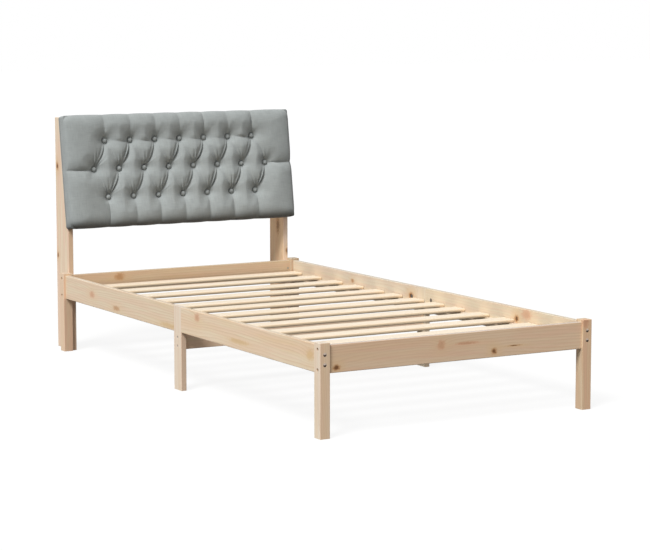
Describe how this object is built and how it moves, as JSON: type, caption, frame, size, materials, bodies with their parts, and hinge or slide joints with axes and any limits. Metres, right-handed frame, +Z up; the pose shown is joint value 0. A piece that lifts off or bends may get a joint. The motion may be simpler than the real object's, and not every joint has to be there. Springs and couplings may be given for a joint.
{
  "type": "bed frame",
  "caption": "Bed frame of plain softwood boards with cross slats, middle legs and a sloping button-tufted headboard cushion on tall posts",
  "frame": {"origin": "on the floor, in the middle of the whole width and length of the bed with its headboard", "axes": "+X to the right seen from the foot end, +Y from the foot end to the head end, +Z up"},
  "size_m": [1.055, 2.165, 0.9226],
  "materials": {
    "pine": "planed, unfinished",
    "plywood": "planed, unfinished",
    "dowel_wood": "turned, unfinished",
    "grey_fabric": "plain weave",
    "bright_screws": "zinc plated",
    "dark_screws": "blackened",
    "zinc_cams": "cast, dull"
  },
  "bodies": {
    "root": {"leg_foot_left": "pine", "leg_foot_right": "pine", "leg_head_left": "pine", "leg_head_right": "pine", "foot_rail": "pine", "head_rail": "pine", "side_rail_left_foot": "pine", "side_rail_left_head": "pine", "side_rail_right_foot": "pine", "side_rail_right_head": "pine", "middle_leg_left": "pine", "middle_leg_right": "pine", "middle_cross_beam": "pine", "slat_ledger_left_foot": "pine", "slat_ledger_left_head": "pine", "slat_ledger_right_foot": "pine", "slat_ledger_right_head": "pine", "head_post_left": "pine", "head_post_right": "pine", "slat_01": "pine", "slat_02": "pine", "slat_03": "pine", "slat_04": "pine", "slat_05": "pine", "slat_06": "pine", "slat_07": "pine", "slat_08": "pine", "slat_09": "pine", "slat_10": "pine", "slat_11": "pine", "slat_12": "pine", "slat_13": "pine", "headboard_panel": "plywood", "headboard_cushion": "grey_fabric", "cushion_buttons": "grey_fabric", "leg_side_screws": "dark_screws", "leg_face_screws": "bright_screws", "cross_beam_screws": "bright_screws", "head_post_screws": "bright_screws", "ledger_screws": "bright_screws", "slat_screws": "bright_screws", "rail_joint_bolts": "bright_screws", "rail_cam_locks": "zinc_cams", "rail_dowels": "dowel_wood", "headboard_bolts": "bright_screws", "headboard_tee_nuts": "bright_screws"}
  },
  "joints": []
}
